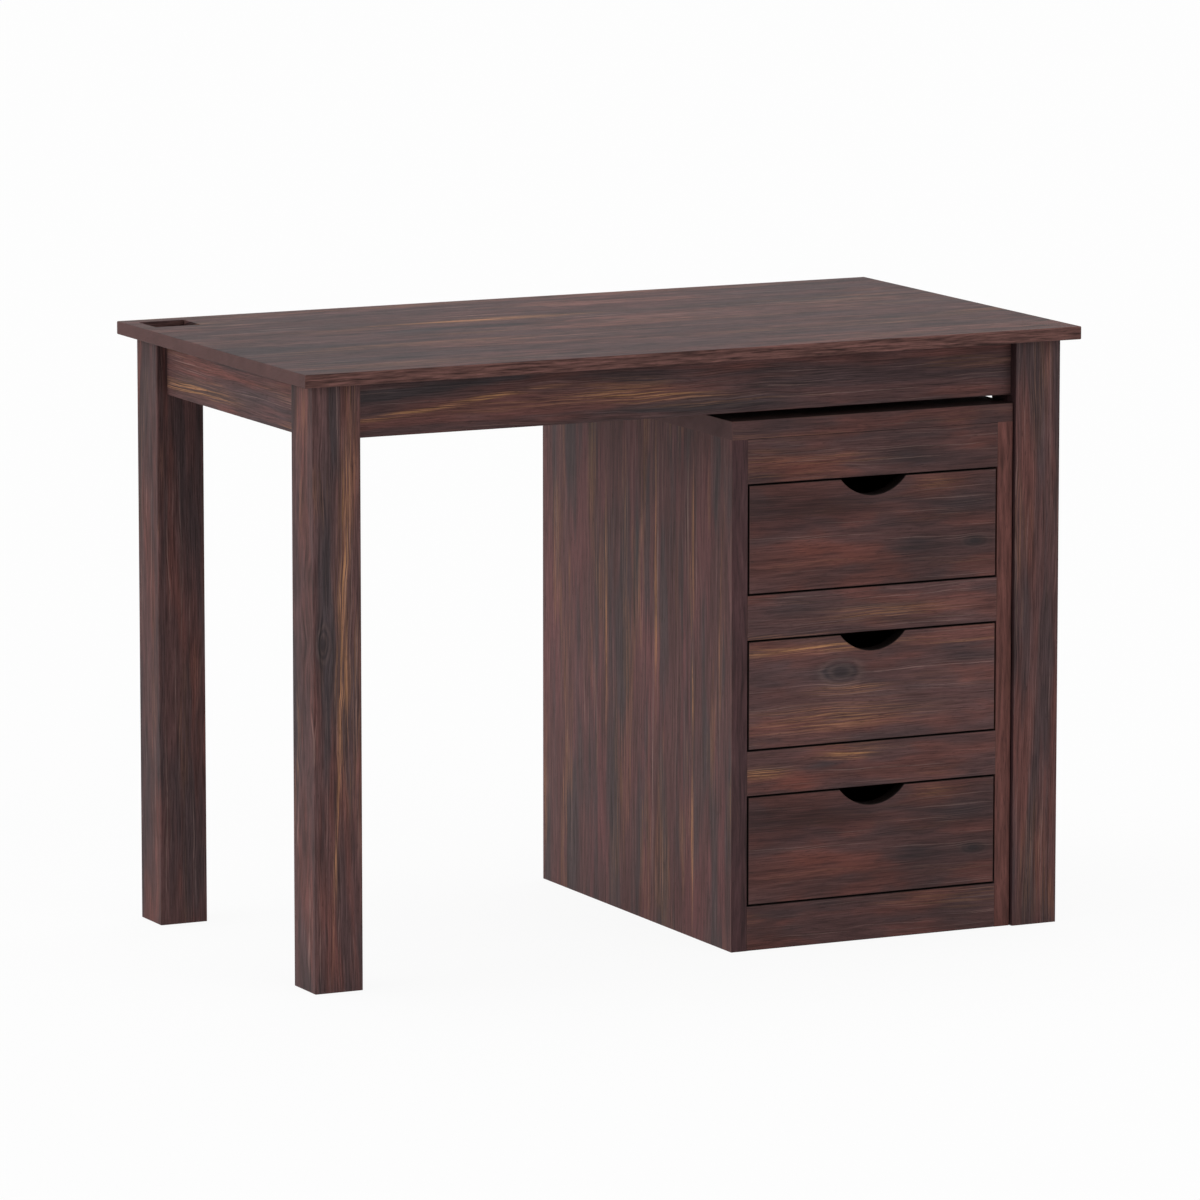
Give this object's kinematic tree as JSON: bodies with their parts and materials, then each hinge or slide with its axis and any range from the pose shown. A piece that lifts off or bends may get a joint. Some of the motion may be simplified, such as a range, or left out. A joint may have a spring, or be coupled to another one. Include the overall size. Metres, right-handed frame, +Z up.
{
  "type": "study table",
  "caption": "Study table of dark stained wood: flat overhanging top on square legs and recessed aprons, with a free-standing drawer pedestal under one side.",
  "frame": {"origin": "on the floor under the middle of the top", "axes": "+X along the top, towards the drawers; -Y to the front, where the sitter is; +Z up"},
  "size_m": [1.065, 0.581, 0.762],
  "materials": {
    "top_wood": "dark walnut stain, satin lacquer, grain along the length",
    "frame_wood": "dark walnut stain, satin lacquer, grain along each piece",
    "carcass_wood": "dark walnut stain, satin lacquer",
    "drawer_front_wood": "dark walnut stain, satin lacquer, grain across the drawer",
    "inner_wood": "plain planed wood, thin clear coat",
    "dowel_wood": "fluted hardwood dowel, raw",
    "screw_steel": "zinc-plated steel"
  },
  "bodies": {
    "table": {"apron_front": "frame_wood", "apron_left": "frame_wood", "apron_rear": "frame_wood", "apron_right": "frame_wood", "corner_block_front_left": "inner_wood", "corner_block_front_right": "inner_wood", "corner_block_rear_left": "inner_wood", "corner_block_rear_right": "inner_wood", "corner_block_screws": "screw_steel", "leg_front_left": "frame_wood", "leg_front_right": "frame_wood", "leg_rear_left": "frame_wood", "leg_rear_right": "frame_wood", "table_top": "top_wood", "top_screws": "screw_steel"},
    "pedestal": {"back_screws": "screw_steel", "drawer_stops": "inner_wood", "pedestal_back": "inner_wood", "pedestal_side_left": "carcass_wood", "pedestal_side_right": "carcass_wood", "pedestal_top": "carcass_wood", "pedestal_top_dowels": "dowel_wood", "rail_bottom": "carcass_wood", "rail_dowels": "dowel_wood", "rail_lower": "carcass_wood", "rail_top": "carcass_wood", "rail_upper": "carcass_wood", "runner_left_bottom": "inner_wood", "runner_left_lower": "inner_wood", "runner_left_top": "inner_wood", "runner_left_upper": "inner_wood", "runner_right_bottom": "inner_wood", "runner_right_lower": "inner_wood", "runner_right_top": "inner_wood", "runner_right_upper": "inner_wood", "runner_screws": "screw_steel"},
    "bottom_drawer": {"drawer_bottom_back": "inner_wood", "drawer_bottom_bottom_panel": "inner_wood", "drawer_bottom_dowels": "dowel_wood", "drawer_bottom_front": "drawer_front_wood", "drawer_bottom_side_left": "inner_wood", "drawer_bottom_side_right": "inner_wood"},
    "middle_drawer": {"drawer_middle_back": "inner_wood", "drawer_middle_bottom_panel": "inner_wood", "drawer_middle_dowels": "dowel_wood", "drawer_middle_front": "drawer_front_wood", "drawer_middle_side_left": "inner_wood", "drawer_middle_side_right": "inner_wood"},
    "top_drawer": {"drawer_top_back": "inner_wood", "drawer_top_bottom_panel": "inner_wood", "drawer_top_dowels": "dowel_wood", "drawer_top_front": "drawer_front_wood", "drawer_top_side_left": "inner_wood", "drawer_top_side_right": "inner_wood"}
  },
  "joints": [
    {"name": "pedestal_pull", "type": "slide", "parent": "table", "child": "pedestal", "axis": [0, -1, 0], "range_m": [0, 0.6]},
    {"name": "bottom_drawer_slide", "type": "slide", "parent": "pedestal", "child": "bottom_drawer", "axis": [0, -1, 0], "range_m": [0, 0.4]},
    {"name": "middle_drawer_slide", "type": "slide", "parent": "pedestal", "child": "middle_drawer", "axis": [0, -1, 0], "range_m": [0, 0.4]},
    {"name": "top_drawer_slide", "type": "slide", "parent": "pedestal", "child": "top_drawer", "axis": [0, -1, 0], "range_m": [0, 0.4]}
  ]
}
